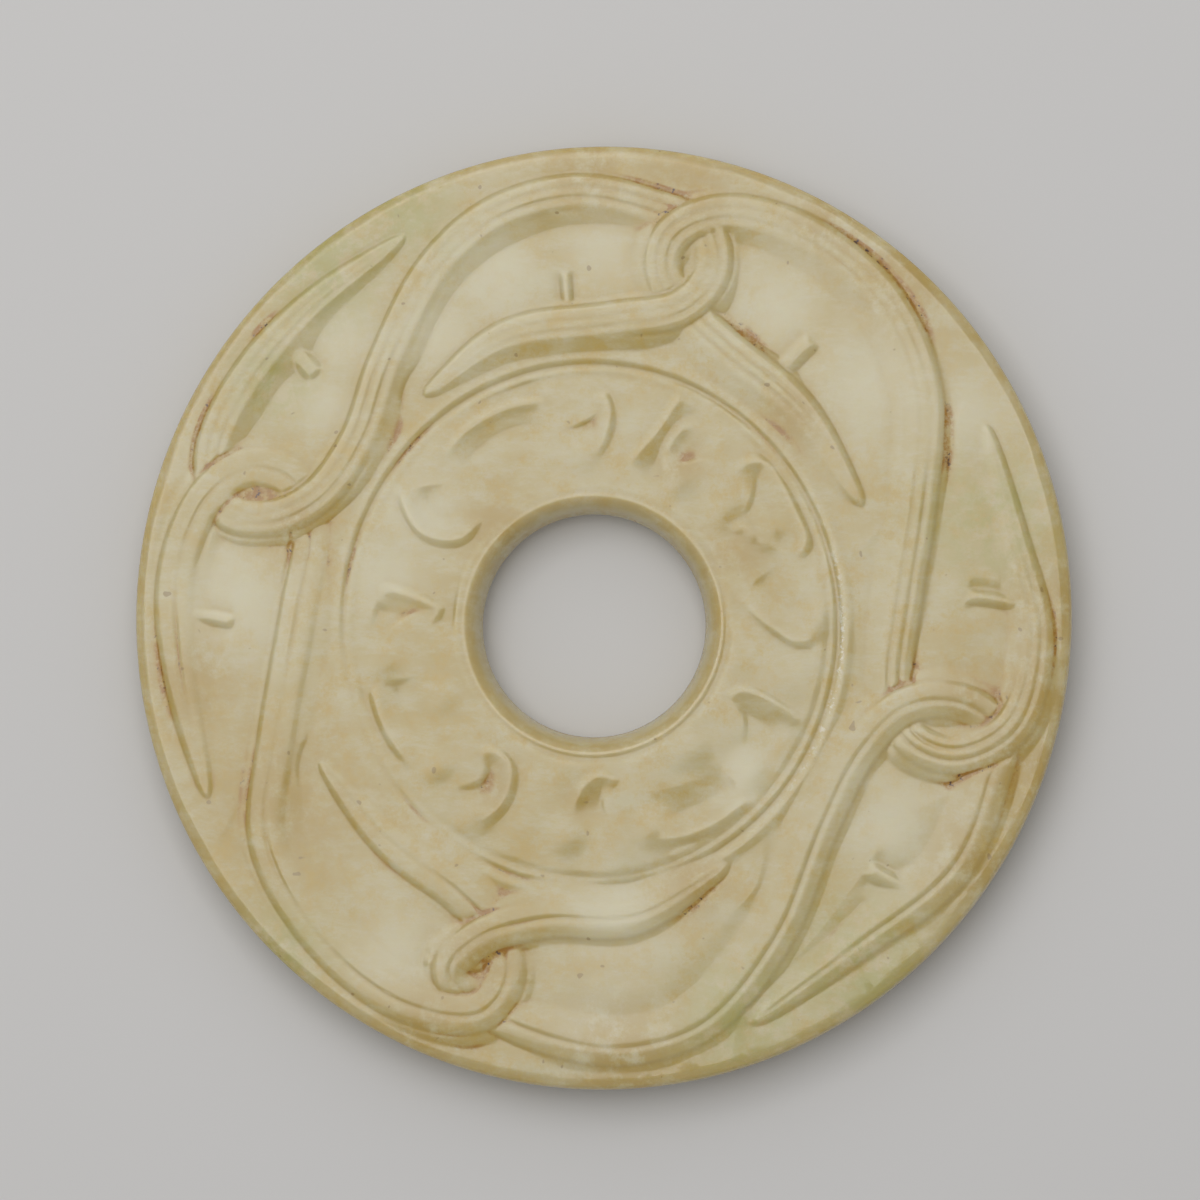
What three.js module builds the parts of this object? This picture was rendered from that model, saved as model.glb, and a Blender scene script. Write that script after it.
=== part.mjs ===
// A carved jade disc with a round bore, lying face up on its flat underside. Millimetres, +Z up.
// The origin is the centre of the underside. The upper face is worked in low relief: four long
// ribbons meet in four knots around an inner field of comma-shaped curls, and a collar rims the bore.
import * as THREE from "three";
import { ConvexHull } from "three/addons/math/ConvexHull.js";

// The body
const OUTER_RADIUS = 40;
const OUT_OF_ROUND = 0.17; // the hand-ground outline swells by this much along its long axis
const LONG_AXIS = THREE.MathUtils.degToRad(80);
const BORE_RADIUS = 9.5;
const BORE_CENTRE = new THREE.Vector2(-0.8, -0.7); // the bore is drilled a little off centre
const THICKNESS = 6; // underside to the crest of a ribbon that crosses over

// Levels of the carving
const LIFT = 0.15; // a ribbon rises by this to cross over another and sinks by it to pass under
const RIBBON_RISE = 0.45;
const GROUND = THICKNESS - LIFT - RIBBON_RISE;
const WAIST = 3; // height of the rim's widest line and of the bore's narrowest
const SHOULDER_DROP = 0.12; // how far a ribbon's rounded shoulders fall below its crest
const FLANK_RUN = 0.5; // a ribbon's side reaches the ground in this width
const TROUGH_DEPTH = 0.1; // the ground is scooped out beside every ribbon
const TROUGH_REACH = 2.2;
const GROOVE_DEPTH = 0.13; // lines cut along a ribbon
const GROOVE_SPREAD = 0.28;

// The rim above its widest line and below it: inset from the outline and height. Inside the last
// inset the rounding only shaves what stands higher, up to its reach.
const RIM = [[0, WAIST], [0.1, GROUND - 0.5], [0.45, GROUND - 0.15], [0.9, GROUND - 0.05]];
const RIM_REACH = 2.2;
const RIM_FOOT = [[0.1, 1], [0.8, 0]];

// The mouth of the bore with its low collar, and its lower edge: distance out from the bore wall and height
const COLLAR = [
  [0, WAIST], [0.3, GROUND - 1.3], [0.8, GROUND - 0.35], [1.4, GROUND + 0.05], [1.8, GROUND - 0.05],
  [2.5, GROUND],
];
const BORE_FOOT = [[0.1, 1.2], [0.7, 0]];

// The cut line between the ribbons and the inner field, a slightly tall oval round the bore
const FIELD_CENTRE = new THREE.Vector2(-1, -0.8);
const FIELD_RADII = new THREE.Vector2(21, 22.2);
const FIELD_LINE_DEPTH = 0.18;
const FIELD_LINE_SPREAD = 0.3;

// Each ribbon's half width, share of the full rise, lengths of its tapered ends, number of cut lines, and
// route from one free end to the other as x, y and over (1), level (0) or under (-1)
const OVER = 1;
const UNDER = -1;
const RIBBONS = [
  {
    halfWidth: 1.45,
    rise: 1,
    tapers: [16, 11],
    grooves: 2,
    route: [
      [-17, 32.3, 0], [-25.6, 25.8, 0], [-31.4, 18.5, 0], [-33.3, 13.1, UNDER], [-31.9, 9, 0],
      [-28.2, 8.4, 0], [-24.1, 10.4, OVER], [-20.7, 15.3, 0], [-18.5, 21.6, 0], [-14.4, 29.6, 0],
      [-9.4, 34.1, 0], [-2.3, 36.1, 0], [4.5, 34.8, UNDER], [8.8, 32.8, 0], [9.4, 29.4, 0],
      [6.8, 26.3, OVER], [0.7, 25.2, 0], [-8.3, 23.8, 0], [-15, 19, 0],
    ],
  },
  {
    halfWidth: 1.5,
    rise: 1,
    tapers: [13, 26],
    grooves: 2,
    route: [
      [21.9, 9.7, 0], [16.8, 17.5, 0], [10.2, 23.1, 0], [6.3, 27, UNDER], [5.1, 30.1, 0],
      [6.3, 32.8, OVER], [10.8, 34.3, 0], [17.8, 32.2, 0], [24.1, 26.7, 0], [27.2, 19.2, 0],
      [26.8, 9.9, 0], [25.5, 1.4, 0], [24.7, -6.2, UNDER], [26.1, -10.3, 0], [29.9, -11.8, 0],
      [34.7, -9.4, OVER], [36.8, -2, 0], [34.9, 6.9, 0], [32.6, 15.8, 0],
    ],
  },
  {
    halfWidth: 1.5,
    rise: 0.9,
    tapers: [18, 10],
    grooves: 1,
    route: [
      [13, -34.2, 0], [21.4, -28, 0], [29.8, -21.2, 0], [32.9, -13.7, 0], [33.6, -9.8, UNDER],
      [30.3, -7.3, 0], [25.7, -7.6, OVER], [21.7, -11.5, 0], [18.5, -17.8, 0], [14.7, -27, 0],
      [8.5, -34.4, 0], [1.5, -36.5, 0], [-4.9, -35.4, 0], [-10.5, -32.7, UNDER], [-12.9, -30, 0],
      [-10.5, -27.3, OVER], [-4.9, -25.7, 0], [2.8, -25.5, 0], [10.4, -21.2, 0],
    ],
  },
  {
    halfWidth: 1.55,
    rise: 0.7,
    tapers: [12, 15],
    grooves: 1,
    route: [
      [-23.8, -12.5, 0], [-18.4, -18.8, 0], [-11.9, -23.7, 0], [-8.7, -27.4, UNDER], [-8.2, -30.8, 0],
      [-10.5, -33.6, OVER], [-17.2, -32.5, 0], [-24.1, -26.9, 0], [-28.4, -19, 0], [-27.7, -10.5, 0],
      [-25.8, 0.6, 0], [-24.8, 7.3, UNDER], [-26.5, 11.8, 0], [-30.1, 12.7, 0], [-33.7, 10.2, OVER],
      [-36.2, 3.9, 0], [-36, -4.1, 0], [-33.6, -15.1, 0],
    ],
  },
];
const TIP_SHARE = 0.2; // a ribbon's free end narrows to this share of its width
const GROOVE_SHARES = { 1: [0.05], 2: [-0.3, 0.35] }; // cut lines, as shares of the half width
const STRAND_SHARES = { 1: [-0.65, 0.65], 2: [-0.75, 0, 0.75] }; // and the strands between them

// Claws that spring from the ribbons: width as a share of the profile's, and route. The profile is
// distance from the route and height above the ground.
const CLAWS = [
  { width: 1.1, route: [[-27.6, 23.9], [-24.2, 20.5]] },
  { width: 0.6, route: [[-3.2, 29.5], [-2.9, 25.6]] },
  { width: 1, route: [[14.1, 19.4], [15.9, 21.6], [17.9, 23.6]] },
  { width: 0.7, route: [[35.4, 0.9], [33.3, 1.4], [30.8, 1.7]] },
  { width: 0.9, route: [[22.4, -21.3], [25.7, -23.2]] },
  { width: 0.75, route: [[-35.3, 0.4], [-31.2, -0.4]] },
];
const CLAW_TAPERS = [0.3, 0.3];
const CLAW_PROFILE = [[0, 0.18], [1, -0.06], [1.8, 0]];

// Curls of the inner field: 1 where the hollow is on the left of the route and -1 on the right, and the
// route from the curl's head to its tail. The profile's distances are negative on the hollow's side.
const CURLS = [
  { turn: 1, route: [[-5, 18.4], [-7, 18.2], [-9.5, 17.3], [-11.9, 15.7], [-13.5, 13.8]] },
  { turn: -1, route: [[-0.7, 18.3], [0.1, 18.7], [0.6, 17.3], [0.3, 15.4], [-0.5, 13.7]] },
  { turn: 1, route: [[8, 16.7], [6.6, 15.7], [5.6, 14.1], [5.3, 12.6], [6.1, 11.7]] },
  { turn: 1, route: [[16.8, 5], [17.3, 6.5], [16.4, 8.9], [15.2, 11.4], [13.9, 13.1], [11.1, 12.4]] },
  { turn: -1, route: [[11.2, 7.1], [11.8, 7.7], [12.5, 7.2], [13, 6.3]] },
  { turn: -1, route: [[17.9, -2.2], [16.3, -2.1], [14.7, -1.1], [13, 0.3], [11.7, 1.9]] },
  { turn: -1, route: [[10.7, -6.8], [11.9, -6.2], [13.7, -6.8], [15.3, -7.8], [16.6, -9]] },
  { turn: -1, route: [[12.3, -15.6], [9.7, -17.5], [7.1, -18.6], [4.9, -19.1]] },
  { turn: 1, route: [[1.3, -14.1], [0, -13.4], [-1.4, -14.1], [-2.3, -15.6], [-2.6, -16.8]] },
  { turn: -1, route: [[-10.5, -11.5], [-9.4, -11.3], [-8, -12.3], [-7.8, -14.3], [-10.2, -17.4]] },
  { turn: 1, route: [[-19.5, -5.9], [-18.9, -8.3], [-17.8, -10.6], [-16.1, -12.8]] },
  { turn: -1, route: [[-18.9, 2.6], [-16.9, 2.1], [-14.6, 1.2], [-13.8, 0.6], [-14.8, -0.5]] },
  { turn: 1, route: [[-17, 10.7], [-16.7, 9.2], [-15.5, 7.3], [-13.6, 6.5], [-10.4, 8.4]] },
  { turn: 1, route: [[6.7, 19], [4.5, 15.7], [1.9, 12.9]] },
];
const CURL_TAPERS = [1, 2.5];
const CURL_PROFILE = [[-4.2, 0], [-2, -0.25], [-0.9, 0], [-0.1, 0.22], [0.6, -0.1], [2.4, 0]];

// Low bosses between the curls
const BOSS_RADIUS = 2.4;
const BOSS_RISE = 0.16;
const BOSSES = [
  [-1.7, 14.1], [6.1, 11.7], [12.4, -13.1], [7.3, -11.3], [4.6, -17.8], [-3.1, -18.5], [-10.6, -16.8],
  [-14.4, -12.3], [-18.9, -3.6], [-16, -10.1], [14.1, 7.5], [10, 8.9], [17.9, -0.3], [-14, -6.7],
];

// Mesh spacing
const RIM_SEGMENTS = 120;
const BORE_SEGMENTS = 60;
const FIELD_SEGMENTS = 84;
const RIBBON_STEP = 1.5;
const STROKE_STEP = 1;
const GROUND_STEP = 2;
const GROUND_CLEARANCE = 1.2; // places on the open ground keep this far from all others
const RIM_CLEARANCE = 1.4; // the carving has no places nearer to the outline than this
const CLOSEST_PLACES = 0.45;
const CURL_ROWS = [-2, -0.9, -0.1, 0.6]; // distances in the profile of a curl
const FIELD_LINE_ROWS = [0, -2, 2]; // beside the cut line, in spreads of it

const outlineRadius = (angle) => OUTER_RADIUS + OUT_OF_ROUND * Math.cos(2 * (angle - LONG_AXIS));

// Straight-line interpolation in a list of [distance, height] pairs sorted by distance
function profileHeight(profile, distance) {
  const next = profile.findIndex(([reach]) => reach >= distance);
  if (next === 0) return profile[0][1];
  if (next < 0) return profile.at(-1)[1];
  const [reachA, heightA] = profile[next - 1];
  const [reachB, heightB] = profile[next];
  return THREE.MathUtils.mapLinear(distance, reachA, reachB, heightA, heightB);
}

// Evenly spaced samples of a route, each with its direction, its lift in z, and its swell: the share
// of the full width and height that it has there, less towards the ends
function sampleRoute(route, { step, tapers, tipShare, halfWidth = 1 }) {
  const stations = route.map(([x, y, over = 0]) => new THREE.Vector3(x, y, over * LIFT));
  const curve = new THREE.CatmullRomCurve3(stations, false, "centripetal");
  const length = curve.getLength();
  const count = Math.max(2, Math.round(length / step));
  return curve.getSpacedPoints(count).map((point, index) => {
    const travelled = (index / count) * length;
    const opening = Math.min(travelled / tapers[0], (length - travelled) / tapers[1], 1);
    const swell = THREE.MathUtils.lerp(tipShare, 1, Math.sqrt(opening));
    const tangent = curve.getTangentAt(index / count);
    return { point, tangent, swell, halfWidth: halfWidth * swell };
  });
}

// Where a place lies beside a sampled route: signed distance, and the half width, swell and lift there
function besideRoute(samples, x, y) {
  let best = { distance: Infinity };
  for (let index = 1; index < samples.length; index++) {
    const from = samples[index - 1];
    const to = samples[index];
    const runX = to.point.x - from.point.x;
    const runY = to.point.y - from.point.y;
    const along = ((x - from.point.x) * runX + (y - from.point.y) * runY) / (runX ** 2 + runY ** 2);
    const share = THREE.MathUtils.clamp(along, 0, 1);
    const offX = x - from.point.x - share * runX;
    const offY = y - from.point.y - share * runY;
    const distance = Math.hypot(offX, offY);
    if (distance >= best.distance) continue;
    best = {
      distance,
      side: distance * Math.sign(runX * offY - runY * offX),
      halfWidth: THREE.MathUtils.lerp(from.halfWidth, to.halfWidth, share),
      swell: THREE.MathUtils.lerp(from.swell, to.swell, share),
      lift: THREE.MathUtils.lerp(from.point.z, to.point.z, share),
    };
  }
  return best;
}

function ribbonHeight({ distance, side, halfWidth, swell, lift }, { rise, grooves }) {
  const crest = GROUND + RIBBON_RISE * rise * swell + lift;
  if (distance > halfWidth) {
    const fall = (distance - halfWidth) / FLANK_RUN;
    return crest - SHOULDER_DROP - fall * (RIBBON_RISE * rise - SHOULDER_DROP);
  }
  const cuts = GROOVE_SHARES[grooves].map((share) => {
    const off = (side - share * halfWidth) / GROOVE_SPREAD;
    return GROOVE_DEPTH * Math.exp(-off * off);
  });
  return crest - SHOULDER_DROP * (distance / halfWidth) ** 4 - Math.max(...cuts);
}

const ribbons = RIBBONS.map(({ route, halfWidth, rise, tapers, grooves }) => ({
  samples: sampleRoute(route, { step: RIBBON_STEP, tapers, tipShare: TIP_SHARE, halfWidth }),
  rise,
  grooves,
}));

// Shallow strokes on the ground. Each has its profile, the distance in that profile of a place beside its
// route, and the distances off the route at which the mesh has rows of places.
const claws = CLAWS.map(({ width, route }) => ({
  samples: sampleRoute(route, { step: STROKE_STEP, tapers: CLAW_TAPERS, tipShare: 0 }),
  profile: CLAW_PROFILE,
  profileDistance: ({ distance }) => distance / width,
  rows: CLAW_PROFILE.flatMap(([distance]) => [distance * width, -distance * width]),
}));
const curls = CURLS.map(({ turn, route }) => ({
  samples: sampleRoute(route, { step: STROKE_STEP, tapers: CURL_TAPERS, tipShare: 0 }),
  profile: CURL_PROFILE,
  profileDistance: ({ side }) => -turn * side,
  rows: CURL_ROWS.map((distance) => -turn * distance),
}));
const strokes = [...claws, ...curls];

// Height of the carved upper face above the underside
function faceHeight({ x, y }) {
  const boreGap = Math.hypot(x - BORE_CENTRE.x, y - BORE_CENTRE.y) - BORE_RADIUS;
  if (boreGap < COLLAR.at(-1)[0]) return profileHeight(COLLAR, boreGap);

  let edgeGap = Infinity;
  let ribbonTop = 0;
  for (const ribbon of ribbons) {
    const beside = besideRoute(ribbon.samples, x, y);
    edgeGap = Math.min(edgeGap, beside.distance - beside.halfWidth);
    ribbonTop = Math.max(ribbonTop, ribbonHeight(beside, ribbon));
  }
  let ground = GROUND - TROUGH_DEPTH * Math.exp(-((Math.max(edgeGap, 0) / TROUGH_REACH) ** 2));
  for (const { samples, profile, profileDistance } of strokes) {
    const beside = besideRoute(samples, x, y);
    ground += profileHeight(profile, profileDistance(beside)) * beside.swell;
  }
  for (const [bossX, bossY] of BOSSES) {
    const share = Math.min(Math.hypot(x - bossX, y - bossY) / BOSS_RADIUS, 1);
    ground += BOSS_RISE * (1 - share ** 2) ** 2;
  }
  const fieldX = (x - FIELD_CENTRE.x) / FIELD_RADII.x;
  const fieldY = (y - FIELD_CENTRE.y) / FIELD_RADII.y;
  const offLine = ((Math.hypot(fieldX, fieldY) - 1) * FIELD_RADII.x) / FIELD_LINE_SPREAD;
  ground -= FIELD_LINE_DEPTH * Math.exp(-offLine * offLine);

  const top = Math.max(ground, ribbonTop);
  const inset = outlineRadius(Math.atan2(y, x)) - Math.hypot(x, y);
  return Math.min(top, profileHeight([...RIM, [RIM_REACH, THICKNESS]], inset));
}

// Closed rings of places: parallel to the outline, or an oval
const ringAngles = (segments) =>
  Array.from({ length: segments }, (_, index) => (index / segments) * 2 * Math.PI);
const outlineRing = (inset) =>
  ringAngles(RIM_SEGMENTS).map((angle) => {
    const radius = outlineRadius(angle) - inset;
    return new THREE.Vector2(radius * Math.cos(angle), radius * Math.sin(angle));
  });
const ovalRing = (centre, radiusX, radiusY, segments) =>
  ringAngles(segments).map((angle) =>
    new THREE.Vector2(radiusX * Math.cos(angle), radiusY * Math.sin(angle)).add(centre),
  );
const boreRing = (growth) =>
  ovalRing(BORE_CENTRE, BORE_RADIUS + growth, BORE_RADIUS + growth, BORE_SEGMENTS);

// Places in rows along a sampled route, each row a share of the half width plus a fixed distance off it
function routeRows(samples, rows) {
  return rows.flatMap(([share, beyond]) =>
    samples.map(({ point, tangent, halfWidth }) => {
      const off = share * halfWidth + beyond;
      const across = new THREE.Vector2(-tangent.y, tangent.x).normalize();
      const place = new THREE.Vector2(point.x, point.y).addScaledVector(across, off);
      return Object.assign(place, { lift: point.z });
    }),
  );
}

// True where another ribbon crosses over the one this place belongs to
const isCovered = (place, owner) =>
  ribbons.some((other) => {
    if (other === owner) return false;
    const { distance, halfWidth, lift } = besideRoute(other.samples, place.x, place.y);
    return distance < halfWidth + FLANK_RUN / 2 && lift > place.lift;
  });

// The places where the upper face has a vertex: bore and rim first, then the carving, then the ground
function facePlaces() {
  const places = COLLAR.flatMap(([gap]) => boreRing(gap));
  places.push(...RIM.flatMap(([inset]) => outlineRing(inset)));
  const addSpaced = (candidates, spacing) => {
    for (const candidate of candidates) {
      const inset = outlineRadius(candidate.angle()) - candidate.length();
      const boreGap = candidate.distanceTo(BORE_CENTRE) - BORE_RADIUS;
      if (inset < RIM_CLEARANCE || boreGap < COLLAR.at(-1)[0]) continue;
      if (places.every((place) => place.distanceTo(candidate) > spacing)) places.push(candidate);
    }
  };
  for (const ribbon of ribbons) {
    const shares = [...GROOVE_SHARES[ribbon.grooves], ...STRAND_SHARES[ribbon.grooves]];
    const rows = [...shares.map((share) => [share, 0]), [1, FLANK_RUN], [-1, -FLANK_RUN]];
    const visible = routeRows(ribbon.samples, rows).filter((place) => !isCovered(place, ribbon));
    addSpaced(visible, CLOSEST_PLACES);
  }
  for (const { samples, rows } of strokes) {
    addSpaced(routeRows(samples, rows.map((distance) => [0, distance])), CLOSEST_PLACES);
  }
  addSpaced(BOSSES.map(([x, y]) => new THREE.Vector2(x, y)), CLOSEST_PLACES);
  for (const beside of FIELD_LINE_ROWS) {
    const gap = beside * FIELD_LINE_SPREAD;
    const ring = ovalRing(FIELD_CENTRE, FIELD_RADII.x + gap, FIELD_RADII.y + gap, FIELD_SEGMENTS);
    addSpaced(ring, CLOSEST_PLACES);
  }
  const rowGap = GROUND_STEP * Math.sin(Math.PI / 3);
  const rowCount = Math.ceil(OUTER_RADIUS / rowGap);
  const columnCount = Math.ceil(OUTER_RADIUS / GROUND_STEP);
  for (let row = -rowCount; row <= rowCount; row++) {
    const shift = row % 2 ? GROUND_STEP / 2 : 0;
    for (let column = -columnCount; column <= columnCount; column++) {
      const place = new THREE.Vector2(column * GROUND_STEP + shift, row * rowGap);
      addSpaced([place], GROUND_CLEARANCE);
    }
  }
  return places;
}

// Delaunay triangles of flat places, as the underside of the hull of their lifts onto a paraboloid
function triangulate(places) {
  const lifted = places.map((place, index) =>
    Object.assign(new THREE.Vector3(place.x, place.y, place.lengthSq()), { index }),
  );
  const triangles = [];
  for (const face of new ConvexHull().setFromPoints(lifted).faces) {
    if (face.normal.z >= 0) continue;
    const { edge } = face;
    const corners = [edge.prev.head(), edge.next.head(), edge.head()];
    triangles.push(corners.map(({ point }) => point.index));
  }
  return triangles;
}

// The whole disc as one closed shell: carved face, rim, flat underside and bore wall
function discGeometry() {
  const positions = [];
  const indices = [];
  const addVertices = (places, height) => {
    const first = positions.length / 3;
    for (const place of places) positions.push(place.x, place.y, height(place));
    return first;
  };
  // Triangles over flat places that start with the ring round the bore, which stays open
  const addSheet = (places, height, upward) => {
    const first = addVertices(places, height);
    for (const triangle of triangulate(places)) {
      if (triangle.every((index) => index < BORE_SEGMENTS)) continue;
      const corners = upward ? triangle : triangle.toReversed();
      indices.push(...corners.map((index) => first + index));
    }
    return first;
  };
  // Quads between two rings of vertices, facing away from the axis when the first ring is the lower one
  const addBand = (lower, upper, segments) => {
    for (let index = 0; index < segments; index++) {
      const next = (index + 1) % segments;
      indices.push(lower + index, lower + next, upper + next);
      indices.push(lower + index, upper + next, upper + index);
    }
  };

  const face = facePlaces();
  const faceStart = addSheet(face, faceHeight, true);
  const faceRim = faceStart + COLLAR.length * BORE_SEGMENTS;
  const [footInset] = RIM_FOOT.at(-1);
  const [footGrowth] = BORE_FOOT.at(-1);
  const underside = [...boreRing(footGrowth), ...outlineRing(footInset)];
  const underStart = addSheet(underside, () => 0, false);
  const [[waistInset, waistHeight]] = RIM_FOOT;
  const waist = addVertices(outlineRing(waistInset), () => waistHeight);
  addBand(waist, faceRim, RIM_SEGMENTS);
  addBand(underStart + BORE_SEGMENTS, waist, RIM_SEGMENTS);
  const [[mouthGrowth, mouthHeight]] = BORE_FOOT;
  const mouth = addVertices(boreRing(mouthGrowth), () => mouthHeight);
  addBand(faceStart, mouth, BORE_SEGMENTS);
  addBand(mouth, underStart, BORE_SEGMENTS);

  const geometry = new THREE.BufferGeometry();
  geometry.setAttribute("position", new THREE.Float32BufferAttribute(positions, 3));
  geometry.setIndex(indices);
  geometry.computeVertexNormals();
  return geometry;
}

const jade = new THREE.MeshStandardMaterial({ name: "jade", color: 0xb8ad7e, roughness: 0.25 });
const disc = new THREE.Mesh(discGeometry(), jade);
disc.name = "bi_disc";

const part = new THREE.Group();
part.add(disc);
export default part;
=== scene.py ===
import math

import bpy
import numpy as np
from mathutils import Matrix, Vector


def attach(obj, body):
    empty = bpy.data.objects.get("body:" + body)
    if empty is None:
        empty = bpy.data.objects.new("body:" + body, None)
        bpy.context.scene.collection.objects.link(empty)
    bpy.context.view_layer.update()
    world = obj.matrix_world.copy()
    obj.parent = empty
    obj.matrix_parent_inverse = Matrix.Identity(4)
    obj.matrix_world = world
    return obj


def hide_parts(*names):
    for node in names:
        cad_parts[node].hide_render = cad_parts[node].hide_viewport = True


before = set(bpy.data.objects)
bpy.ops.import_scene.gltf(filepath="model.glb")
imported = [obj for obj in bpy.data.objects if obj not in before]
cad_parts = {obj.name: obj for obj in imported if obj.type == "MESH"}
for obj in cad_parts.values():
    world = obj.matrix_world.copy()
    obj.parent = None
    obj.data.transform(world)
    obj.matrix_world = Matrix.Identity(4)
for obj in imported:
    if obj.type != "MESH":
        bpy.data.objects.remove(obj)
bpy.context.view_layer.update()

# The carving is worked out in millimetres on a fine square grid, and the mesh reads it from there.
MM = 0.001
GRID_PITCH = 0.08
GRID_REACH = 41
FACE_BLUR = 0.05  # cut edges are worn round by about this much

# The body, as in the solid: outline, bore, and the levels of the carved face
OUTER_RADIUS = 40
OUT_OF_ROUND = 0.17
LONG_AXIS = math.radians(80)
BORE_RADIUS = 9.5
BORE_CENTRE = np.array([-0.8, -0.7])
THICKNESS = 6
LIFT = 0.12
RIBBON_RISE = 0.27
GROUND = THICKNESS - LIFT - RIBBON_RISE
WAIST = 3

# Profiles as distance and height: the rim in from the outline, the collar out from the bore wall
RIM = [
    (0, WAIST), (0.03, GROUND - 1.1), (0.1, GROUND - 0.6), (0.22, GROUND - 0.32), (0.45, GROUND - 0.15),
    (0.9, GROUND - 0.04), (1.4, GROUND + 0.07), (2.2, THICKNESS),
]
RIM_FOOT = [(0.03, 1.6), (0.1, 1), (0.25, 0.55), (0.5, 0.2), (0.8, 0)]
COLLAR = [
    (0, WAIST), (0.3, GROUND - 1.3), (0.55, GROUND - 0.75), (0.8, GROUND - 0.4), (1.05, GROUND - 0.18),
    (1.25, GROUND - 0.06), (1.42, GROUND), (1.6, GROUND - 0.01), (1.8, GROUND - 0.05), (2.1, GROUND - 0.03),
    (2.5, GROUND),
]
BORE_FOOT = [(0.05, 1.5), (0.2, 0.6), (0.4, 0.15), (0.7, 0)]

# The cut line round the inner field, as distance out, depth and spread of each line, and the
# direction in which it is worn away
FIELD_CENTRE = np.array([-1.0, -0.8])
FIELD_RADII = np.array([21.0, 22.2])
FIELD_LINES = [(0, 0.12, 0.22), (-0.85, 0.04, 0.3), (0.75, -0.06, 0.45)]
FIELD_WORN = math.radians(205)
FIELD_WORN_SPREAD = 0.6
FIELD_WEAR = 0.75

# White scuffs beside that line: direction and spread round the bore, distance out and width
SCUFF_DIRECTION = math.radians(-8)
SCUFF_SPREAD = 0.45
SCUFF_GAP = 0.35
SCUFF_WIDTH = 0.22

# Ribbons: half width, share of the full rise, length of the taper at each end, cut lines along it, and
# the route from one free end to the other as x, y and over (1), level (0) or under (-1)
RIBBONS = [
    (1.45, 1, (16, 11), 2, [
        (-17, 32.3, 0), (-25.6, 25.8, 0), (-31.4, 18.5, 0), (-33.3, 13.1, -1), (-31.9, 9, 0),
        (-28.2, 8.4, 0), (-24.1, 10.4, 1), (-20.7, 15.3, 0), (-18.5, 21.6, 0), (-14.4, 29.6, 0),
        (-9.4, 34.1, 0), (-2.3, 36.1, 0), (4.5, 34.8, -1), (8.8, 32.8, 0), (9.4, 29.4, 0),
        (6.8, 26.3, 1), (0.7, 25.2, 0), (-8.3, 23.8, 0), (-15, 19, 0),
    ]),
    (1.5, 1, (13, 26), 2, [
        (21.9, 9.7, 0), (16.8, 17.5, 0), (10.2, 23.1, 0), (6.3, 27, -1), (5.1, 30.1, 0),
        (6.3, 32.8, 1), (10.8, 34.3, 0), (17.8, 32.2, 0), (24.1, 26.7, 0), (27.2, 19.2, 0),
        (26.8, 9.9, 0), (25.5, 1.4, 0), (24.7, -6.2, -1), (26.1, -10.3, 0), (29.9, -11.8, 0),
        (34.7, -9.4, 1), (36.8, -2, 0), (34.9, 6.9, 0), (32.6, 15.8, 0),
    ]),
    (1.5, 0.9, (18, 10), 1, [
        (13, -34.2, 0), (21.4, -28, 0), (29.8, -21.2, 0), (32.9, -13.7, 0), (33.6, -9.8, -1),
        (30.3, -7.3, 0), (25.7, -7.6, 1), (21.7, -11.5, 0), (18.5, -17.8, 0), (14.7, -27, 0),
        (8.5, -34.4, 0), (1.5, -36.5, 0), (-4.9, -35.4, 0), (-10.5, -32.7, -1), (-12.9, -30, 0),
        (-10.5, -27.3, 1), (-4.9, -25.7, 0), (2.8, -25.5, 0), (10.4, -21.2, 0),
    ]),
    (1.55, 0.7, (12, 15), 1, [
        (-23.8, -12.5, 0), (-18.4, -18.8, 0), (-11.9, -23.7, 0), (-8.7, -27.4, -1), (-8.2, -30.8, 0),
        (-10.5, -33.6, 1), (-17.2, -32.5, 0), (-24.1, -26.9, 0), (-28.4, -19, 0), (-27.7, -10.5, 0),
        (-25.8, 0.6, 0), (-24.8, 7.3, -1), (-26.5, 11.8, 0), (-30.1, 12.7, 0), (-33.7, 10.2, 1),
        (-36.2, 3.9, 0), (-36, -4.1, 0), (-33.6, -15.1, 0),
    ]),
]
CUT_LINES = {1: (0.05,), 2: (-0.3, 0.35)}  # shares of the half width
TIP_SHARE = 0.2
SHOULDER_DROP = 0.1
FLANK_INWARD = 1.15
FLANK_OUTWARD = 0.4
TROUGH_DEPTH = 0.06
TROUGH_REACH = 2.2
GROOVE_DEPTH = 0.11
GROOVE_HALF_WIDTH = 0.22
EDGE_CUT_DEPTH = 0.12
EDGE_CUT_HALF_WIDTH = 0.3
EDGE_CUT_GAP = 0.15
GROOVE_STEADY = 0.65  # share of the groove's depth that is the same all along, and the share that wanders
GROOVE_WANDER = 0.5
WANDER_WIDTH = 5
RIBBON_REACH = 5  # how far out a ribbon shapes the ground beside it

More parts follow.
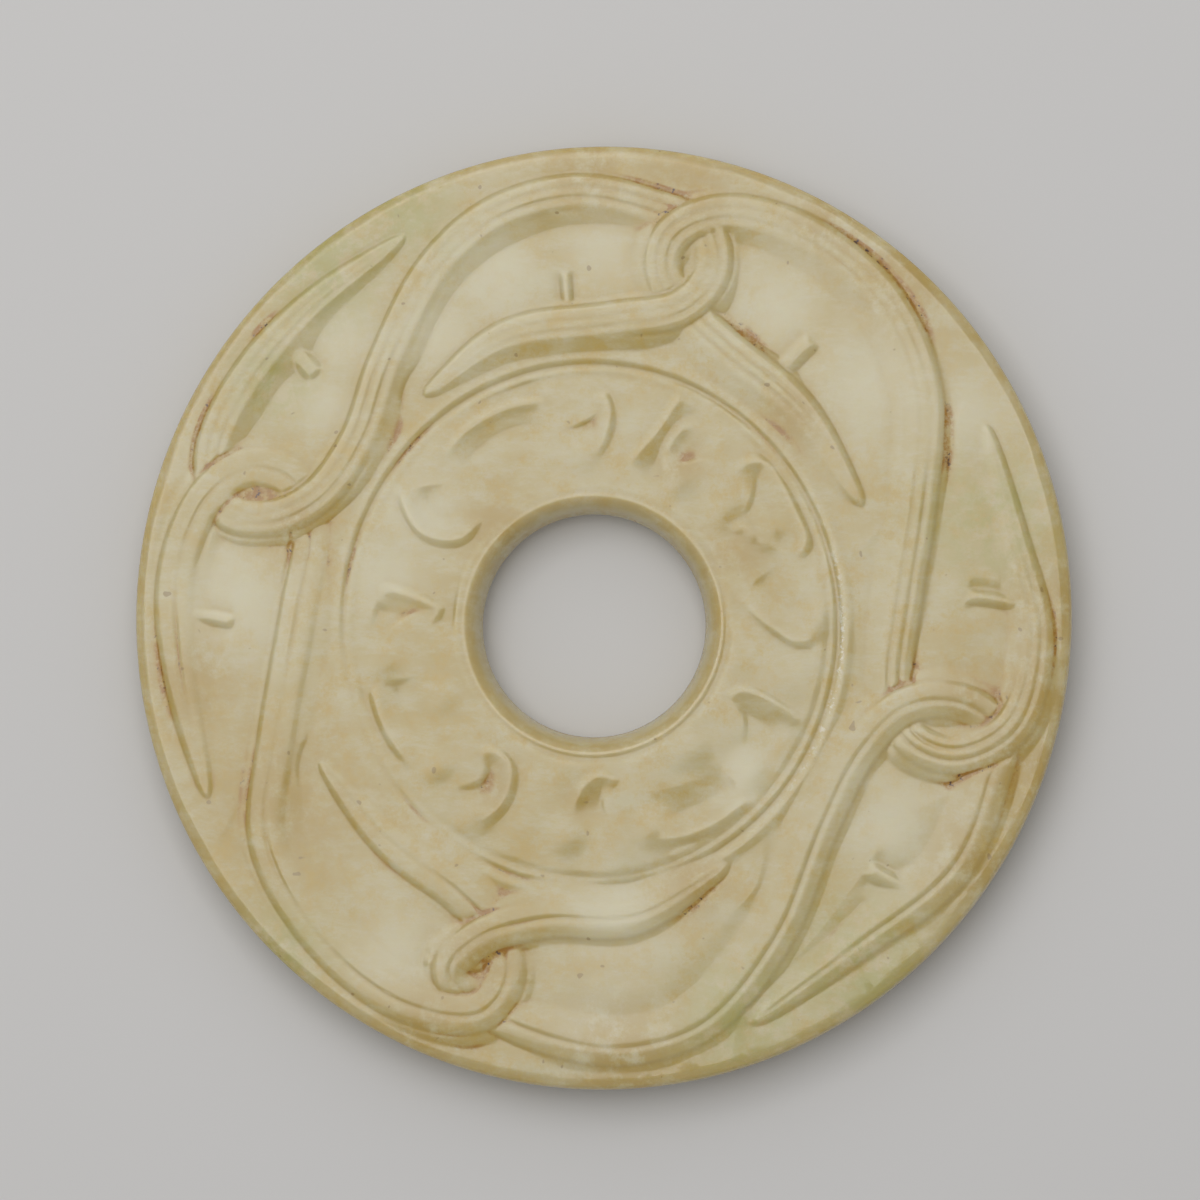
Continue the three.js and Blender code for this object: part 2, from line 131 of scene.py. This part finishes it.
# Curls of the inner field: 1 where the hollow is on the left of the route and -1 on the right, and
# the route from the curl's head to its tail
CURLS = [
    (1, [(-5, 18.4), (-7, 18.2), (-9.5, 17.3), (-11.9, 15.7), (-13.5, 13.8)]),
    (-1, [(-0.7, 18.3), (0.1, 18.7), (0.6, 17.3), (0.3, 15.4), (-0.5, 13.7)]),
    (1, [(8, 16.7), (6.6, 15.7), (5.6, 14.1), (5.3, 12.6), (6.1, 11.7)]),
    (1, [(16.8, 5), (17.3, 6.5), (16.4, 8.9), (15.2, 11.4), (13.9, 13.1), (12.4, 13.2), (11.1, 12.4)]),
    (-1, [(11.2, 7.1), (11.8, 7.7), (12.5, 7.2), (13, 6.3)]),
    (-1, [(17.9, -2.2), (16.3, -2.1), (14.7, -1.1), (13, 0.3), (11.7, 1.9)]),
    (-1, [(10.7, -6.8), (11.9, -6.2), (13.7, -6.8), (15.3, -7.8), (16.6, -9)]),
    (-1, [(12.3, -15.6), (9.7, -17.5), (7.1, -18.6), (4.9, -19.1)]),
    (1, [(1.3, -14.1), (0, -13.4), (-1.4, -14.1), (-2.3, -15.6), (-2.6, -16.8)]),
    (-1, [(-10.5, -11.5), (-9.4, -11.3), (-8, -12.3), (-7.8, -14.3), (-8.7, -16.2), (-10.2, -17.4)]),
    (1, [(-19.5, -5.9), (-18.9, -8.3), (-17.8, -10.6), (-16.1, -12.8)]),
    (-1, [(-18.9, 2.6), (-16.9, 2.1), (-14.6, 1.2), (-13.8, 0.6), (-14.8, -0.5)]),
    (1, [(-17, 10.7), (-16.7, 9.2), (-15.5, 7.3), (-13.6, 6.5), (-11.9, 6.7), (-10.4, 8.4)]),
    (1, [(6.7, 19), (4.5, 15.7), (1.9, 12.9)]),
]
CURL_TAPERS = (1, 2.5)
CURL_PROFILE = [
    (-4.2, 0), (-2, -0.13), (-0.8, 0), (-0.15, 0.1), (0.1, 0.09), (0.4, 0), (0.65, -0.05), (1.2, -0.04),
    (2.4, 0),
]
BOSS_RADIUS = 2.4
BOSS_RISE = 0.12
BOSSES = [
    (-1.7, 14.1), (6.1, 11.7), (12.4, -13.1), (7.3, -11.3), (4.6, -17.8), (-3.1, -18.5),
    (-10.6, -16.8), (-14.4, -12.3), (-18.9, -3.6), (-16, -10.1), (14.1, 7.5), (10, 8.9),
    (17.9, -0.3), (-14, -6.7),
]

# Claws of the ribbons: width as a share of the profile's, and the route
CLAWS = [
    (1.1, [(-27.6, 23.9), (-24.2, 20.5)]),
    (0.6, [(-3.2, 29.5), (-2.9, 25.6)]),
    (1, [(14.1, 19.4), (15.9, 21.6), (17.9, 23.6)]),
    (0.7, [(35.4, 0.9), (33.3, 1.4), (30.8, 1.7)]),
    (0.9, [(22.4, -21.3), (25.7, -23.2)]),
    (0.75, [(-35.3, 0.4), (-31.2, -0.4)]),
]
CLAW_TAPERS = (0.3, 0.3)
CLAW_REACH = 3
CLAW_PROFILE = [(0, 0.13), (0.4, 0.11), (0.75, 0), (1, -0.07), (1.5, -0.04), (2.4, 0)]

# Patches of the stone as x, y and reach: milky, tan and green, and where russet soaked into the cuts
MILKY_PLACES = [
    (0, 31.5, 4), (-9, 29.5, 4), (-14, 24, 3.5), (-22, 24, 4), (-24, 18, 3), (-31.5, 2, 5),
    (-18, 3.5, 3), (-15, 9, 3.5), (22.5, 20, 6), (15, 26, 4), (31, 17, 4), (12.5, -13, 2.5),
    (25, -18, 4.5), (0, -34.5, 4), (1, -25.5, 4), (-17, -28.5, 4),
]
TAN_PLACES = [
    (38, 1, 5), (37, -6, 5), (35.5, -13, 6), (32, -21, 5), (20, 34, 4), (26, 29, 5), (7, 36, 4),
    (-1, 38, 4), (-26, 7.5, 3), (-35, -6, 4), (-27, -16, 6), (-10, -29, 4), (-15, -35, 4),
    (31, -7, 3), (6.6, 13, 2), (11.5, 5, 2.5), (-9.4, -14.5, 2), (-1.6, -15.5, 1.5), (16, 17, 3),
    (8, -22.5, 3), (-9, 7.5, 3), (2, -38, 6),
]
GREEN_PLACES = [
    (-17, 34.5, 4), (-24, 30, 5), (-28, 20, 3), (12, -34, 5), (22, -30, 6), (33, 8, 5),
    (-28, -29, 4),
]
EDGE_TAN = 0.6  # share of tan along the rim and the bore, with its distance from each and its spread
RIM_TAN_INSET = 0.4
BORE_TAN_GAP = 1.1
EDGE_TAN_SPREAD = 0.5
RUSSET_PLACES = [
    (5, 36, 4), (22, 31.5, 5), (26.5, 26.5, 4), (28.5, 15, 4), (-33, 13.2, 3), (-30.5, 10, 4),
    (-26.5, 7, 3), (-23.5, 5.3, 3.5), (-34.4, 16.5, 3), (-29.5, 25.3, 2), (-17.8, 15.8, 3.5),
    (25.4, -5.2, 2.5), (31.6, -7, 3), (31.5, -13.7, 4.5), (37.8, -3, 5), (-12, -35.3, 3.5),
    (-7.8, -33.3, 2.5), (-9.8, -29.8, 4), (-9, -24.5, 4), (-30.2, -14.5, 5), (-37, -4.5, 5),
    (8.8, -24.6, 3), (20, -27.5, 2.5), (15.8, 16.4, 3), (11.8, 23, 3), (-22.4, -9.8, 2.5),
    (-16.6, -18.6, 4), (-10.4, 15.8, 2), (-0.1, 16, 1.5), (6.7, 13.4, 1.5), (-16.2, 0.7, 1.2),
    (-9.5, -14.2, 1.4), (-1.8, -15.6, 1.4),
]

# Hand-worked unevenness as height and width of its swells: everywhere, and in the inner field as well
GROUND_WAVES = [(0.04, 9), (0.022, 3.5), (0.003, 1.2)]
FIELD_WAVES = [(0.08, 7), (0.04, 3.5)]

# Reach and depth at which a hollow takes its full painted shade (partly dirt), or a crest its full painted
# highlight (partly wear), and a cut its full stain
DIP_REACH = 0.3
DIP_DEPTH = 0.06
SOAK_REACH = 0.5
SOAK_DEPTH = 0.05

# Mesh spacing of the carved face and of the plain underside, and triangles kept in the end
FACE_STEP = 0.15
UNDER_STEP = 1.6
TRIANGLES = 190000

axis = np.arange(-GRID_REACH, GRID_REACH + GRID_PITCH, GRID_PITCH)
grid_x, grid_y = np.meshgrid(axis, axis)


def outline_radius(angle):
    return OUTER_RADIUS + OUT_OF_ROUND * np.cos(2 * (angle - LONG_AXIS))


def curve_through(route, step):
    """Evenly spaced points of a centripetal Catmull-Rom curve through the stations of a route."""
    stations = np.array(route, float)
    ends = [2 * stations[0] - stations[1], 2 * stations[-1] - stations[-2]]
    knots = np.vstack([ends[0], stations, ends[1]])
    share = np.linspace(0, 1, 24, endpoint=False)[:, None]
    square, cube = share**2, share**3
    pieces = []
    for before, start, stop, after in zip(knots, knots[1:], knots[2:], knots[3:]):
        gaps = [math.sqrt(math.dist(a, b)) for a, b in ((before, start), (start, stop), (stop, after))]
        leave = (start - before) / gaps[0] - (stop - before) / (gaps[0] + gaps[1]) + (stop - start) / gaps[1]
        arrive = (stop - start) / gaps[1] - (after - start) / (gaps[1] + gaps[2]) + (after - stop) / gaps[2]
        pieces.append(
            (2 * cube - 3 * square + 1) * start
            + (cube - 2 * square + share) * leave * gaps[1]
            + (3 * square - 2 * cube) * stop
            + (cube - square) * arrive * gaps[1]
        )
    points = np.vstack([*pieces, stations[-1:]])
    travelled = np.concatenate([[0], np.cumsum(np.linalg.norm(np.diff(points[:, :2], axis=0), axis=1))])
    even = np.linspace(0, travelled[-1], max(3, round(travelled[-1] / step)))
    return np.column_stack([np.interp(even, travelled, column) for column in points.T]), even


def beside_route(route, tapers, reach):
    """Grid fields beside a route: distance, distance with its sign (left is positive), opening from
    0 at the ends to 1, lift, and facing, from -1 towards the disc's centre to 1 towards its rim."""
    points, travelled = curve_through(route, 0.5)
    opening = np.minimum(travelled / tapers[0], (travelled[-1] - travelled) / tapers[1]).clip(0, 1)
    lift = points[:, 2] * LIFT if points.shape[1] > 2 else np.zeros(len(points))
    fields = {name: np.zeros(grid_x.shape) for name in ("side", "opening", "lift", "facing")}
    fields["distance"] = np.full(grid_x.shape, np.inf)
    for index in range(len(points) - 1):
        start, stop = points[index, :2], points[index + 1, :2]
        low = np.searchsorted(axis, np.minimum(start, stop) - reach)
        high = np.searchsorted(axis, np.maximum(start, stop) + reach)
        window = (slice(low[1], high[1]), slice(low[0], high[0]))
        run = stop - start
        off_x, off_y = grid_x[window] - start[0], grid_y[window] - start[1]
        share = ((off_x * run[0] + off_y * run[1]) / (run @ run)).clip(0, 1)
        left = np.sign(run[0] * off_y - run[1] * off_x)
        distance = np.hypot(off_x - share * run[0], off_y - share * run[1])
        left_faces = (run[0] * start[1] - run[1] * start[0]) / (math.hypot(*run) * math.hypot(*start))
        values = {
            "distance": distance,
            "side": distance * left,
            "opening": opening[index] + share * (opening[index + 1] - opening[index]),
            "lift": lift[index] + share * (lift[index + 1] - lift[index]),
            "facing": left * left_faces,
        }
        closer = distance < fields["distance"][window]
        for name, value in values.items():
            fields[name][window][closer] = value[closer]
    return fields


def blurred(field, radius):
    """A field smoothed three times by a running mean, close to a Gaussian of that radius in mm."""
    width = max(1, round(radius / GRID_PITCH))
    count = 2 * width + 1
    for _ in range(2):
        for _ in range(3):
            total = np.cumsum(np.pad(field, [(width + 1, width), (0, 0)], mode="edge"), axis=0)
            field = (total[count:] - total[:-count]) / count
        field = field.T
    return field


def smooth_noise(rng, size):
    """Soft random swells about as wide as size, between -1 and 1."""
    count = int(2 * GRID_REACH / size) + 3
    coarse = rng.uniform(-1, 1, (count, count))
    place = (axis + GRID_REACH) / size
    whole = place.astype(int)
    ease = (place - whole) ** 2 * (3 - 2 * (place - whole))
    rows = coarse[whole] * (1 - ease[:, None]) + coarse[whole + 1] * ease[:, None]
    return rows[:, whole] * (1 - ease) + rows[:, whole + 1] * ease


def uneven(rng, waves):
    """The sum of soft swells, each given as height and width."""
    return sum(height * smooth_noise(rng, width) for height, width in waves)


def bell(distance, spread):
    return np.exp(-((distance / spread) ** 2))


def vee(distance, half_width):
    """1 at distance 0, falling straight to 0 at the half width."""
    return (1 - np.abs(distance) / half_width).clip(0, 1)


def patches(places):
    """1 at the middle of each place, fading to 0 around its reach."""
    return np.max([bell(np.hypot(grid_x - x, grid_y - y), reach) for x, y, reach in places], axis=0)


def carve_ribbons(ground):
    """The ground scooped out beside the ribbons, and the ribbons woven over each other on it."""
    rng = np.random.default_rng(7)
    carved = []
    for half_width, rise, tapers, lines, route in RIBBONS:
        beside = beside_route(route, tapers, half_width + RIBBON_REACH)
        swell = TIP_SHARE + (1 - TIP_SHARE) * np.sqrt(beside["opening"])
        width = half_width * swell
        edge = beside["distance"] - width
        over = (beside["lift"] / LIFT).clip(0, 1)
        outward = np.maximum(over, 0.5 + 0.5 * beside["facing"])
        cut = sum(vee(beside["side"] - line * width, GROOVE_HALF_WIDTH) for line in CUT_LINES[lines])
        height = GROUND + RIBBON_RISE * rise * swell + beside["lift"]
        height -= SHOULDER_DROP * (beside["distance"] / width).clip(0, 1) ** 3
        depth = GROOVE_DEPTH * (GROOVE_STEADY + GROOVE_WANDER * smooth_noise(rng, WANDER_WIDTH))
        height -= depth * cut * swell * (edge < 0)
        run = FLANK_INWARD + (FLANK_OUTWARD - FLANK_INWARD) * outward
        height -= edge.clip(0, None) / run * (RIBBON_RISE * rise - SHOULDER_DROP)
        carved.append((edge, height, beside["lift"], outward * swell * rise))
    nearest = np.min([edge for edge, *_ in carved], axis=0).clip(0, None)
    top = ground - TROUGH_DEPTH * bell(nearest, TROUGH_REACH)
    lift_there = np.full(top.shape, -1.0)
    for edge, height, lift, _ in carved:
        lift_there = np.where((height > top) & (edge < 0), lift, lift_there)
        top = np.maximum(top, height)
    cut = np.zeros(top.shape)
    for edge, _, lift, outward in carved:
        under = (lift - lift_there > LIFT / 5) & (edge > 0)
        cut = np.maximum(cut, vee(edge - EDGE_CUT_GAP, EDGE_CUT_HALF_WIDTH) * outward * under)
    return top - EDGE_CUT_DEPTH * cut


def carve_curls():
    """Rise and fall of the inner field: curls, each with its hollow and its outline, and bosses."""
    reach = CURL_PROFILE[-1][0] - CURL_PROFILE[0][0]
    relief = np.zeros(grid_x.shape)
    for turn, route in CURLS:
        beside = beside_route(route, CURL_TAPERS, reach)
        relief += np.interp(-turn * beside["side"], *np.transpose(CURL_PROFILE)) * np.sqrt(beside["opening"])
    for x, y in BOSSES:
        share = np.hypot(grid_x - x, grid_y - y) / BOSS_RADIUS
        relief += BOSS_RISE * (1 - share**2).clip(0, None) ** 2
    return relief


def carve_claws():
    relief = np.zeros(grid_x.shape)
    for width, route in CLAWS:
        beside = beside_route(route, CLAW_TAPERS, CLAW_REACH)
        relief += np.interp(beside["distance"] / width, *np.transpose(CLAW_PROFILE)) * beside["opening"]
    return relief


def carve_face():
    """Height of the carved face, and the fields that colour it."""
    rng = np.random.default_rng(4)
    away_x = (grid_x - FIELD_CENTRE[0]) / FIELD_RADII[0]
    away_y = (grid_y - FIELD_CENTRE[1]) / FIELD_RADII[1]
    field_gap = (np.hypot(away_x, away_y) - 1) * FIELD_RADII[0]
    in_field = (-field_gap).clip(0, 1)
    swells = uneven(rng, GROUND_WAVES)
    field_swells = uneven(rng, FIELD_WAVES)
    ground = GROUND + swells + (field_swells + carve_curls()) * in_field + carve_claws()
    bearing = np.arctan2(away_y, away_x)
    worn = 1 - FIELD_WEAR * bell(bearing % (2 * math.pi) - FIELD_WORN, FIELD_WORN_SPREAD)
    for gap, depth, spread in FIELD_LINES:
        ground -= depth * bell(field_gap - gap, spread) * worn
    top = blurred(carve_ribbons(ground), FACE_BLUR)
    inset = outline_radius(np.arctan2(grid_y, grid_x)) - np.hypot(grid_x, grid_y)
    bore_gap = np.hypot(grid_x - BORE_CENTRE[0], grid_y - BORE_CENTRE[1]) - BORE_RADIUS
    rim = np.interp(inset, *np.transpose(RIM))
    collar = np.interp(bore_gap, *np.transpose(COLLAR))
    blend = ((bore_gap - COLLAR[-2][0]) / (COLLAR[-1][0] - COLLAR[-2][0])).clip(0, 1)
    top = collar + (np.minimum(top, rim) - collar) * blend
    # How far the face lies below its surroundings: hollows get painted shade with some dirt, and crests,
    # where it is negative, a painted highlight with some wear
    dirt_and_painted_shade = blurred(top, DIP_REACH) - top
    soak = ((blurred(top, SOAK_REACH) - top) / SOAK_DEPTH).clip(0, 1)
    scuffed = bell(bearing - SCUFF_DIRECTION, SCUFF_SPREAD)
    rim_tan = bell(inset - RIM_TAN_INSET, EDGE_TAN_SPREAD)
    bore_tan = bell(bore_gap - BORE_TAN_GAP, EDGE_TAN_SPREAD)
    colours = {
        "dirt_and_painted_shade": (dirt_and_painted_shade / DIP_DEPTH).clip(0, 1),
        "wear_and_painted_highlight": (-dirt_and_painted_shade / DIP_DEPTH).clip(0, 1),
        "milky": patches(MILKY_PLACES),
        "tan": np.maximum(patches(TAN_PLACES), EDGE_TAN * np.maximum(rim_tan, bore_tan)),
        "green": patches(GREEN_PLACES),
        "russet": patches(RUSSET_PLACES) * soak,
        "scuff": bell(field_gap - SCUFF_GAP, SCUFF_WIDTH) * scuffed,
    }
    return top, colours


def read_grid(field, places):
    """Values of a grid field at places, interpolated between the grid's points."""
    cell = (places + GRID_REACH) / GRID_PITCH
    whole = np.clip(cell.astype(int), 0, len(axis) - 2)
    column, row = whole.T
    across, along = (cell - whole).T
    near = field[row, column] * (1 - across) + field[row, column + 1] * across
    far = field[row + 1, column] * (1 - across) + field[row + 1, column + 1] * across
    return near * (1 - along) + far * along


def ring_places(share, count, bore_growth=0, inset=0):
    """Places round the disc, from the bore wall (share 0) to the outline (share 1)."""
    angle = np.arange(count) / count * 2 * math.pi
    direction = np.column_stack([np.cos(angle), np.sin(angle)])
    inner = BORE_CENTRE + direction * (BORE_RADIUS + bore_growth)
    outer = direction * (outline_radius(angle) - inset)[:, None]
    return inner + (outer - inner) * share


def at_height(places, height):
    return np.column_stack([places, np.broadcast_to(height, len(places))])


def disc_rings(top):
    """Closed loops of points: out over the face, down the rim, in over the underside, up the bore."""
    wall = OUTER_RADIUS - BORE_RADIUS
    bore_foot, _ = BORE_FOOT[-1]
    rim_foot, _ = RIM_FOOT[-1]
    rings = []
    for share in np.linspace(0, 1, round(wall / (FACE_STEP * math.sin(math.pi / 3)))):
        places = ring_places(share, round(2 * math.pi * (BORE_RADIUS + share * wall) / FACE_STEP))
        rings.append(at_height(places, read_grid(top, places)))
    rings[0][:, 2] = WAIST
    rings[-1][:, 2] = WAIST
    for inset, height in RIM_FOOT:
        rings.append(at_height(ring_places(1, len(rings[-1]), inset=inset), height))
    for share in np.linspace(1, 0, round(wall / UNDER_STEP))[1:]:
        count = round(2 * math.pi * (BORE_RADIUS + share * wall) / UNDER_STEP)
        rings.append(at_height(ring_places(share, count, bore_foot, rim_foot), 0))
    for growth, height in reversed(BORE_FOOT[:-1]):
        rings.append(at_height(ring_places(0, len(rings[0]), bore_growth=growth), height))
    return rings


def zip_rings(first_a, count_a, first_b, count_b):
    """Triangles between two rings of vertices, ring b being outside ring a when the faces look up."""
    a = np.arange(count_a)
    b = np.arange(count_b)
    apex_b = ((a + 1) * count_b // count_a) % count_b
    apex_a = (-(-(b + 1) * count_a // count_b) - 1) % count_a
    from_a = np.column_stack([first_a + a, first_b + apex_b, first_a + (a + 1) % count_a])
    from_b = np.column_stack([first_a + apex_a, first_b + b, first_b + (b + 1) % count_b])
    return np.vstack([from_a, from_b])


def make_disc(top, colours):
    rings = disc_rings(top)
    counts = [len(ring) for ring in rings]
    starts = np.cumsum([0] + counts)
    loops = list(range(len(rings))) + [0]
    triangles = np.vstack([
        zip_rings(starts[a], counts[a], starts[b], counts[b]) for a, b in zip(loops, loops[1:])
    ])
    points = np.vstack(rings)
    fine = bpy.data.meshes.new("fine_disc")
    fine.from_pydata((points * MM).tolist(), [], triangles.tolist())
    disc = bpy.data.objects.new("jade_disc", fine)
    bpy.context.scene.collection.objects.link(disc)
    # Only the carved face is thinned, so the rim and the underside keep their even mesh
    face = disc.vertex_groups.new(name="face")
    face.add(np.flatnonzero(points[:, 2] > WAIST).tolist(), 1, "REPLACE")
    thin = disc.modifiers.new("thin", "DECIMATE")
    thin.vertex_group = face.name
    thin.ratio = TRIANGLES / len(triangles)
    thinned = disc.evaluated_get(bpy.context.evaluated_depsgraph_get())
    mesh = bpy.data.meshes.new_from_object(thinned)
    disc.modifiers.clear()
    disc.vertex_groups.clear()
    disc.data = mesh
    bpy.data.meshes.remove(fine)
    mesh.name = "jade_disc"
    mesh.shade_smooth()
    vertices = np.empty(len(mesh.vertices) * 3, np.float32)
    mesh.vertices.foreach_get("co", vertices)
    vertices = vertices.reshape(-1, 3) / MM
    for name, field in colours.items():
        values = np.where(vertices[:, 2] > WAIST, read_grid(field, vertices[:, :2]), 0)
        layer = mesh.attributes.new(name, "FLOAT", "POINT")
        layer.data.foreach_set("value", values.astype(np.float32))
    return disc


class Nodes:
    """Short calls for building one material's node tree."""

    def __init__(self, name):
        self.material = bpy.data.materials.new(name)
        self.material.use_nodes = True
        self.tree = self.material.node_tree
        self.shader = self.tree.nodes["Principled BSDF"]

    def add(self, kind, inputs=(), **settings):
        node = self.tree.nodes.new(kind)
        for key, value in settings.items():
            setattr(node, key, value)
        for key, value in dict(inputs).items():
            self.feed(node.inputs[key], value)
        return node

    def feed(self, socket, value):
        if isinstance(value, bpy.types.NodeSocket):
            self.tree.links.new(value, socket)
        else:
            socket.default_value = value

    def noise(self, place, scale, detail=3, roughness=0.55):
        inputs = {"Vector": place, "Scale": scale, "Detail": detail, "Roughness": roughness}
        return self.add("ShaderNodeTexNoise", inputs).outputs["Fac"]

    def ramp(self, value, low, high):
        """0 below low, 1 above high, and smooth between."""
        inputs = {"Value": value, "From Min": low, "From Max": high}
        return self.add("ShaderNodeMapRange", inputs, interpolation_type="SMOOTHSTEP").outputs["Result"]

    def times(self, a, b):
        return self.add("ShaderNodeMath", {0: a, 1: b}, operation="MULTIPLY").outputs[0]

    def tint(self, share, colour, tinted):
        """The colour, going over to the tinted one by share."""
        node = self.add("ShaderNodeMix", data_type="RGBA")
        factor, first, second = [s for s in node.inputs if s.enabled]
        self.feed(factor, share)
        self.feed(first, colour)
        self.feed(second, tinted)
        return next(s for s in node.outputs if s.enabled)

    def attribute(self, name):
        return self.add("ShaderNodeAttribute", attribute_name=name).outputs["Fac"]


def jade_material():
    n = Nodes("jade")
    place = n.add("ShaderNodeTexCoord").outputs["Object"]
    turned = n.add("ShaderNodeMapping", {"Vector": place, "Rotation": (0, 0, 0.6), "Scale": (1, 2.4, 1)})
    clouds = n.ramp(n.noise(place, 90, 5, 0.6), 0.36, 0.66)
    wisps = n.ramp(n.noise(turned.outputs["Vector"], 220, 7, 0.72), 0.4, 0.66)
    ochre = n.ramp(n.noise(place, 330, 7, 0.75), 0.46, 0.68)
    grain = n.ramp(n.noise(place, 900, 4, 0.7), 0.35, 0.6)
    colour = n.tint(clouds, (0.47, 0.365, 0.13, 1), (0.52, 0.44, 0.23, 1))
    colour = n.tint(n.times(wisps, 0.65), colour, (0.57, 0.52, 0.34, 1))
    colour = n.tint(n.times(ochre, 0.8), colour, (0.49, 0.345, 0.075, 1))
    colour = n.tint(n.times(n.attribute("milky"), 0.7), colour, (0.62, 0.58, 0.41, 1))
    # Painted shade: hollows darkened towards olive, partly dirt as well
    colour = n.tint(n.times(n.attribute("dirt_and_painted_shade"), 0.4), colour, (0.43, 0.3, 0.075, 1))
    # Painted highlight: crests paled, partly wear as well
    colour = n.tint(n.times(n.attribute("wear_and_painted_highlight"), 0.3), colour, (0.62, 0.57, 0.4, 1))
    ragged = n.ramp(n.noise(place, 420, 6, 0.7), 0.34, 0.58)
    colour = n.tint(n.times(n.times(n.attribute("tan"), ragged), 0.8), colour, (0.43, 0.295, 0.065, 1))
    colour = n.tint(n.times(n.times(n.attribute("green"), ragged), 0.65), colour, (0.38, 0.36, 0.1, 1))
    stain = n.attribute("russet")
    colour = n.tint(n.times(n.times(stain, ragged), 0.6), colour, (0.49, 0.32, 0.045, 1))
    colour = n.tint(n.times(n.ramp(stain, 0.25, 0.7), grain), colour, (0.36, 0.175, 0.014, 1))
    specks = n.ramp(n.noise(place, 2400, 2, 0.5), 0.62, 0.7)
    colour = n.tint(n.times(specks, n.ramp(stain, 0.3, 0.8)), colour, (0.07, 0.03, 0.015, 1))
    dots = n.ramp(n.noise(place, 1300, 0, 0.5), 0.83, 0.87)
    colour = n.tint(n.times(dots, 0.5), colour, (0.22, 0.13, 0.04, 1))
    scuffs = n.ramp(n.noise(place, 1600, 3, 0.7), 0.5, 0.62)
    colour = n.tint(n.times(scuffs, n.attribute("scuff")), colour, (0.72, 0.69, 0.58, 1))
    n.feed(n.shader.inputs["Base Color"], colour)
    rough = n.add("ShaderNodeMapRange", {"Value": wisps, "To Min": 0.14, "To Max": 0.25})
    n.feed(n.shader.inputs["Roughness"], rough.outputs["Result"])
    bumps = {"Height": n.noise(place, 800, 5, 0.7), "Distance": 0.00003, "Strength": 0.4}
    polish = n.add("ShaderNodeBump", bumps)
    n.feed(n.shader.inputs["Normal"], polish.outputs["Normal"])
    n.shader.inputs["IOR"].default_value = 1.61
    n.shader.inputs["Subsurface Weight"].default_value = 0.85
    n.shader.inputs["Subsurface Radius"].default_value = (1.0, 0.8, 0.4)
    n.shader.inputs["Subsurface Scale"].default_value = 0.0011
    return n.material


def make_floor():
    size = 3
    mesh = bpy.data.meshes.new("floor")
    level = -0.00002
    corners = [(-size, -size, level), (size, -size, level), (size, size, level), (-size, size, level)]
    mesh.from_pydata(corners, [], [(0, 1, 2, 3)])
    floor = bpy.data.objects.new("floor", mesh)
    bpy.context.scene.collection.objects.link(floor)
    material = bpy.data.materials.new("floor")
    material.use_nodes = True
    shader = material.node_tree.nodes["Principled BSDF"]
    shader.inputs["Base Color"].default_value = (0.62, 0.61, 0.6, 1)
    shader.inputs["Roughness"].default_value = 0.9
    mesh.materials.append(material)


def add_light(name, place, size, power):
    """A square soft light that looks at the origin."""
    light = bpy.data.lights.new(name, "AREA")
    light.shape = "SQUARE"
    light.size = size
    light.energy = power
    lamp = bpy.data.objects.new(name, light)
    lamp.location = place
    lamp.rotation_euler = (-Vector(place)).to_track_quat("-Z", "Y").to_euler()
    lamp.visible_camera = False
    bpy.context.scene.collection.objects.link(lamp)


def make_camera():
    distance = 0.6
    tilt = math.radians(3)
    view_width = 0.1018
    towards = Vector((1, -1, 0)).normalized()
    target = Vector((-0.0002, 0.0014, 0.0055))
    place = target + distance * (towards * math.sin(tilt) + Vector((0, 0, math.cos(tilt))))
    data = bpy.data.cameras.new("camera")
    data.sensor_width = 36
    data.lens = data.sensor_width * distance / view_width
    camera = bpy.data.objects.new("camera", data)
    view = (target - place).normalized()
    right = view.cross(Vector((0, 1, 0))).normalized()
    up = right.cross(view)
    camera.matrix_world = Matrix.Translation(place) @ Matrix((right, up, -view)).transposed().to_4x4()
    bpy.context.scene.collection.objects.link(camera)
    bpy.context.scene.camera = camera


top, colours = carve_face()
disc = make_disc(top, colours)
disc.data.materials.append(jade_material())
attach(disc, "root")
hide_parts("bi_disc")
make_floor()
add_light("key", place=(-0.095, 0.15, 0.57), size=0.48, power=1.65)
add_light("fill", place=(-0.05, 0.42, 0.35), size=0.5, power=0.4)
world = bpy.data.worlds.new("studio")
world.use_nodes = True
background = world.node_tree.nodes["Background"]
background.inputs["Color"].default_value = (1, 1, 1, 1)
background.inputs["Strength"].default_value = 0.4
bpy.context.scene.world = world
bpy.context.scene.view_settings.view_transform = "Standard"
make_camera()
